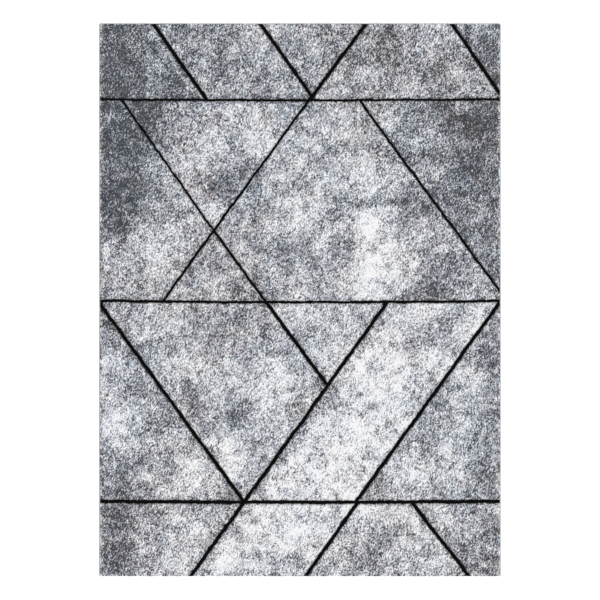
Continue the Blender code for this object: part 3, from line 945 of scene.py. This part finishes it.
class AREA_RUG_OT_raised_pile(bpy.types.Operator):
    """Make the raised fields of heather pile"""

    bl_idname = "area_rug.raised_pile"
    bl_label = "Raised Pile"

    def execute(self, context):
        pile = settings("rug_pile")
        pitch = np.array((pile.tuft_across, pile.tuft_along))
        material = heather_material()
        edge = [(pile.shoulder * inset, drop) for inset, drop in RAISED_EDGE]
        for name in FIELDS:
            mesh, places = tuft_block(name, pitch, pile.tuft_relief, edge, pile.shear_relief)
            store(mesh, "tone", tone_at(places, name))
            finish_piece("raised_" + name, mesh, material, "pile_grey", name)
        return {"FINISHED"}


class AREA_RUG_OT_low_lines(bpy.types.Operator):
    """Make the low black lines between the raised fields"""

    bl_idname = "area_rug.low_lines"
    bl_label = "Low Lines"

    def execute(self, context):
        pile = settings("rug_pile")
        pitch = np.array((pile.line_pitch, pile.line_pitch))
        material = yarn_material(
            "black_pile", "black", scale=700.0, stretch=(1.0, 0.8, 1.0), dust=0.001, depth=0.0010,
            attribute="tuft", sheen=0.0, specular=0.06)
        for name in LINES:
            mesh, _ = tuft_block(name, pitch, pile.line_relief, LOW_EDGE, 0.0)
            finish_piece("low_" + name, mesh, material, "pile_black", name)
        return {"FINISHED"}


# ---------------------------------------------------------------- back


def ribbed_plate(name, low, high, columns, seed, under_only=False):
    """A closed plate with weft ribs across it, above and below, or only below."""
    edges = settings("rug_edges")
    rows = int(round((high.y - low.y) / edges.weft_pitch)) * 2
    x, y = np.meshgrid(np.linspace(low.x, high.x, columns + 1), np.linspace(low.y, high.y, rows + 1))
    flat = np.stack([x.ravel(), y.ravel()], axis=1)
    rib = np.repeat(np.arange(rows + 1) % 2, columns + 1) * edges.weft_relief
    rib *= 1 - RIB_SHARE + RIB_SHARE * drift(flat, RIB_SIZE, seed)
    below = np.column_stack([flat, low.z + rib])
    above = np.column_stack([flat, high.z - (0 if under_only else 1) * rib])
    width = columns + 1
    total = len(flat)
    face = np.arange(rows * columns)
    corner = face // columns * width + face % columns
    quad = np.stack([corner, corner + 1, corner + 1 + width, corner + width], axis=1)
    faces = [quad[:, ::-1], quad + total]
    rims = ((0, 1, columns), (columns, width, rows), (total - 1, -1, columns), (total - width, -width, rows))
    for start, step, count in rims:
        here = start + step * np.arange(count)
        faces.append(np.stack([here, here + step, here + step + total, here + total], axis=1))
    return new_mesh(name, np.vstack([below, above]), np.vstack(faces))


class AREA_RUG_OT_ground_weave(bpy.types.Operator):
    """Make the woven ground that the tufts are caught in"""

    bl_idname = "area_rug.ground_weave"
    bl_label = "Ground Weave"

    def execute(self, context):
        edges = settings("rug_edges")
        mesh = ribbed_plate("jute_ground", WEAVE_LOW, WEAVE_HIGH, GROUND_COLUMNS, SEED_BACK)
        material = cloth_material(
            "jute_ground", "cord", "jute", (WARP_PITCH, edges.weft_pitch / 2), dust=0.06, depth=0.0004,
            root_shaded=True)
        piece = finish_piece("jute_ground", mesh, material, "weave_natural", "ground_weave")
        return {"FINISHED"}


class AREA_RUG_OT_back_sizing(bpy.types.Operator):
    """Make the sized back that locks the tufts in"""

    bl_idname = "area_rug.back_sizing"
    bl_label = "Back Sizing"

    def execute(self, context):
        edges = settings("rug_edges")
        mesh = ribbed_plate(
            "sized_back", SIZING_LOW, SIZING_HIGH, BACK_COLUMNS, SEED_BACK + 1, under_only=True)
        material = cloth_material(
            "sized_back", "sizing", "jute", (WARP_PITCH, edges.weft_pitch / 2), dust=0.10, depth=0.0003)
        finish_piece("sized_back", mesh, material, "sizing_pale", "back_sizing")
        return {"FINISHED"}


# ---------------------------------------------------------------- long sides


def sleeve(name, stations, radii, centre):
    """A tube along Y with closed ends: a ring at each station, each with its own radius round it."""
    sides = radii.shape[1]
    angle = np.arange(sides) / sides * 2 * math.pi
    ring_x = centre.x + radii * np.cos(angle)
    ring_z = centre.z + radii * np.sin(angle)
    ring_y = np.repeat(stations[:, None], sides, axis=1)
    points = np.stack([ring_x, ring_y, ring_z], axis=2).reshape(-1, 3)
    return new_mesh(name, points, tube_faces(len(stations), sides))


def round_box(name):
    """The low and high corners, the centre and the radius of a round CAD piece along Y."""
    low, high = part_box(name)
    return low, high, (low + high) / 2, (high.x - low.x) / 2


class AREA_RUG_OT_side_overlocks(bpy.types.Operator):
    """Whip the yarn round both long sides"""

    bl_idname = "area_rug.side_overlocks"
    bl_label = "Side Overlocks"

    def execute(self, context):
        edges = settings("rug_edges")
        material = yarn_material(
            "overlock_yarn", "overlock", scale=1400.0, stretch=(1.0, 0.4, 1.0), dust=0.05, depth=0.0004,
            attribute="wrap")
        for number, side in enumerate(SIDES):
            name = "side_overlock_" + side
            low, high, centre, radius = round_box(name)
            wraps = int(round((high.y - low.y) / edges.wrap_pitch))
            stations = np.linspace(low.y, high.y, wraps * WRAP_STEPS + 1)
            angle = np.arange(WRAP_SIDES) / WRAP_SIDES
            turn = (stations[:, None] - low.y) / edges.wrap_pitch + angle
            ridge = np.abs(np.sin(math.pi * turn))
            rng = np.random.default_rng(SEED_WRAP + number)
            own = rng.random(wraps + 2)[np.floor(turn).astype(int)]
            radii = radius - edges.wrap_relief * (1 - ridge + WRAP_SHARE * own)
            ease = np.clip(np.minimum(stations - low.y, high.y - stations) / radius, END_EASE, 1)
            radii *= np.sqrt(1 - (1 - ease) ** 2)[:, None]
            mesh = sleeve("whipped_" + side, stations, radii, centre)
            store(mesh, "wrap", own.ravel())
            finish_piece("whipped_edge_" + side, mesh, material, "overlock_grey", name)
        return {"FINISHED"}


class AREA_RUG_OT_side_cords(bpy.types.Operator):
    """Lay the twisted cords inside the overlocks"""

    bl_idname = "area_rug.side_cords"
    bl_label = "Side Cords"

    def execute(self, context):
        edges = settings("rug_edges")
        material = yarn_material(
            "filler_cord", "cord", scale=900.0, stretch=(1.0, 0.3, 1.0), dust=0.03, depth=0.0003)
        for side in SIDES:
            name = "side_cord_" + side
            low, high, centre, radius = round_box(name)
            count = int((high.y - low.y) / CORD_STEP)
            stations = np.linspace(low.y + CORD_INSET, high.y - CORD_INSET, count)
            angle = np.arange(CORD_SIDES) / CORD_SIDES * 2 * math.pi
            turn = angle[None] - stations[:, None] / edges.cord_lay * 2 * math.pi
            strand = np.abs(np.cos(edges.cord_plies * turn / 2))
            radii = radius * (CORD_CORE + CORD_STRAND * strand)
            mesh = sleeve("cord_" + side, stations, radii, centre)
            finish_piece("twisted_cord_" + side, mesh, material, "cord_natural", name)
        return {"FINISHED"}


# ---------------------------------------------------------------- short ends


def tape_outline(lip, depth, thickness):
    """The tape's section as (distance from the rug's end, height), closed, with a soft fold."""
    below = [(mark, 0.0) for mark in TAPE_MARKS]
    above = [(mark, thickness) for mark in reversed(TAPE_MARKS)]
    return [
        (0.0, thickness * 1.4), (thickness * 0.25, thickness * 0.5), (thickness * 0.9, 0.0),
        *below, (depth - TAPE_ROUNDS[0], 0.0),
        (depth, thickness * 0.3), (depth, thickness * 0.75), (depth - TAPE_ROUNDS[1], thickness),
        *above, (thickness * 1.3, thickness * 1.1), (thickness, thickness * 1.6),
        (thickness, lip * 0.9), (thickness * 0.6, lip), (thickness * 0.2, lip * 0.97),
    ]


class AREA_RUG_OT_end_tapes(bpy.types.Operator):
    """Fold the finishing tapes under both short ends"""

    bl_idname = "area_rug.end_tapes"
    bl_label = "End Tapes"

    def execute(self, context):
        material = cloth_material(
            "finishing_tape", "tape", "tape", (TAPE_PITCH, TAPE_PITCH), dust=0.05, depth=0.0003)
        slow, quick = TAPE_STRAYS
        for number, end in enumerate(ENDS):
            name = "end_tape_" + end
            low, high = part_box(name)
            outer, sign = (high.y, 1.0) if end == "head" else (low.y, -1.0)
            thickness = SIZING_HIGH.z - SIZING_LOW.z
            outline = np.array(tape_outline(high.z, high.y - low.y, thickness))
            stations = np.linspace(low.x, high.x, TAPE_RINGS)
            spots = np.stack([stations, np.full(len(stations), sign)], axis=1)
            ripple = drift(spots, slow, SEED_TAPE + number) / 2 + drift(spots, quick, SEED_RIPPLE) / 2
            upper = outline[:, 1] > high.z * LIP_FROM
            far = outline[:, 0] > (high.y - low.y) * EDGE_FROM
            reach = outline[None, :, 0] + ripple[:, None] * EDGE_STRAY * far[None]
            height = outline[None, :, 1] + ripple[:, None] * LIP_STRAY * upper[None]
            points = np.column_stack(
                [np.repeat(stations, len(outline)), outer - sign * reach.ravel(), height.ravel()])
            mesh = new_mesh(name, points, tube_faces(len(stations), len(outline)))
            solid = bmesh.new()
            solid.from_mesh(mesh)
            bmesh.ops.recalc_face_normals(solid, faces=solid.faces)
            solid.to_mesh(mesh)
            solid.free()
            piece = finish_piece("folded_tape_" + end, mesh, material, "tape_grey", name)
        return {"FINISHED"}


def stitch_row(across, y, edges):
    """Points and faces of a row of stitches: short arcs of thread that dip into the tape at both ends."""
    radius = edges.thread_diameter / 2
    reach = edges.stitch_pitch * edges.stitch_share / 2
    steps = np.linspace(-1, 1, STITCH_RINGS)
    angle = np.arange(STITCH_SIDES) / STITCH_SIDES * 2 * math.pi
    arc_x = steps * reach
    arc_z = STITCH_LEVEL + radius * STITCH_DIP * np.abs(steps) ** 3
    ring = np.stack([np.zeros(STITCH_SIDES), np.cos(angle) * radius, np.sin(angle) * radius], axis=1)
    one = np.stack([arc_x, np.zeros(STITCH_RINGS), arc_z], axis=1)[:, None] + ring[None]
    faces = [face[::-1] for face in tube_faces(STITCH_RINGS, STITCH_SIDES)]
    points = []
    polygons = []
    for x in across:
        base = len(points) * STITCH_RINGS * STITCH_SIDES
        points.append(one.reshape(-1, 3) + np.array((x, y, 0)))
        polygons += [[corner + base for corner in face] for face in faces]
    return np.vstack(points), polygons


class AREA_RUG_OT_tape_stitches(bpy.types.Operator):
    """Sew two rows of stitches through each end tape"""

    bl_idname = "area_rug.tape_stitches"
    bl_label = "Tape Stitches"

    def execute(self, context):
        edges = settings("rug_edges")
        material = yarn_material(
            "sewing_thread", "thread", scale=2500.0, stretch=(0.4, 1.0, 1.0), dust=0.03, depth=0.0001)
        for end in ENDS:
            low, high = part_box("end_tape_" + end)
            across = np.arange(low.x + edges.stitch_pitch, high.x - edges.stitch_pitch, edges.stitch_pitch)
            for row, y in (("outer", high.y), ("inner", low.y)):
                inward = -1 if row == "outer" else 1
                points, faces = stitch_row(across, y + inward * edges.stitch_inset, edges)
                name = "stitch_row_" + end + "_" + row
                finish_piece(name, new_mesh(name, points, faces), material, "tape_grey")
        return {"FINISHED"}


# ---------------------------------------------------------------- stage


def lay_floor(stage):
    bpy.ops.mesh.primitive_plane_add(size=stage.floor_size, location=(0, 0, -FLOOR_DROP))
    floor = bpy.context.object
    floor.name = "pale_floor"
    material, _, shader = new_material("pale_floor", specular=0.0)
    shader.inputs["Base Color"].default_value = (*stage.floor_colour, 1.0)
    shader.inputs["Roughness"].default_value = 1.0
    floor.data.materials.append(material)


def light_room(stage):
    """Even light from all round, and a large soft sun."""
    world = bpy.data.worlds.new("studio")
    world.use_nodes = True
    background = world.node_tree.nodes["Background"]
    background.inputs["Color"].default_value = (1, 1, 1, 1)
    background.inputs["Strength"].default_value = stage.sky_strength
    bpy.context.scene.world = world
    sun = bpy.data.lights.new("soft_key", "SUN")
    sun.energy = stage.key_strength
    sun.angle = math.radians(SUN_SIZE)
    key = bpy.data.objects.new("soft_key", sun)
    key.rotation_euler = (*map(math.radians, SUN_TILTS), 0)
    bpy.context.scene.collection.objects.link(key)


def hang_camera(stage):
    """The camera straight above the middle, as far up as its lens needs for the width that it sees."""
    data = bpy.data.cameras.new("camera_above")
    data.lens = stage.lens
    data.sensor_width = SENSOR
    data.clip_end = stage.floor_size
    camera = bpy.data.objects.new("camera_above", data)
    camera.location = (0, 0, RUG_HIGH.z + stage.view_width * stage.lens / SENSOR)
    bpy.context.scene.collection.objects.link(camera)
    bpy.context.scene.camera = camera


class AREA_RUG_OT_stage(bpy.types.Operator):
    """Set the pale floor, the soft light and the camera straight above"""

    bl_idname = "area_rug.stage"
    bl_label = "Stage"

    def execute(self, context):
        stage = settings("rug_stage")
        context.scene.view_settings.view_transform = "Standard"
        lay_floor(stage)
        light_room(stage)
        hang_camera(stage)
        return {"FINISHED"}


class AREA_RUG_PT_panel(bpy.types.Panel):
    """The rug's pieces, in the order they are made"""

    bl_idname = "AREA_RUG_PT_panel"
    bl_label = "Carved Heather Rug"
    bl_space_type = "VIEW_3D"
    bl_region_type = "UI"
    bl_category = "Rug"

    def draw(self, context):
        layout = self.layout
        for operator in OPERATORS:
            layout.operator(operator.bl_idname)
        for group in GROUPS:
            box = layout.box()
            for name in group.__annotations__:
                box.prop(getattr(context.scene, GROUPS[group]), name)


GROUPS = {RugPile: "rug_pile", RugColours: "rug_colours", RugEdges: "rug_edges", RugStage: "rug_stage"}
OPERATORS = (
    AREA_RUG_OT_raised_pile,
    AREA_RUG_OT_low_lines,
    AREA_RUG_OT_ground_weave,
    AREA_RUG_OT_back_sizing,
    AREA_RUG_OT_side_overlocks,
    AREA_RUG_OT_side_cords,
    AREA_RUG_OT_end_tapes,
    AREA_RUG_OT_tape_stitches,
    AREA_RUG_OT_stage,
)


def register():
    for group, name in GROUPS.items():
        bpy.utils.register_class(group)
        setattr(bpy.types.Scene, name, bpy.props.PointerProperty(type=group))
    for operator in OPERATORS:
        bpy.utils.register_class(operator)
    bpy.utils.register_class(AREA_RUG_PT_panel)


def unregister():
    bpy.utils.unregister_class(AREA_RUG_PT_panel)
    for operator in reversed(OPERATORS):
        bpy.utils.unregister_class(operator)
    for group, name in reversed(GROUPS.items()):
        delattr(bpy.types.Scene, name)
        bpy.utils.unregister_class(group)


def main():
    register()
    for operator in OPERATORS:
        category, name = operator.bl_idname.split(".")
        getattr(getattr(bpy.ops, category), name)()


if __name__ == "__main__":
    main()
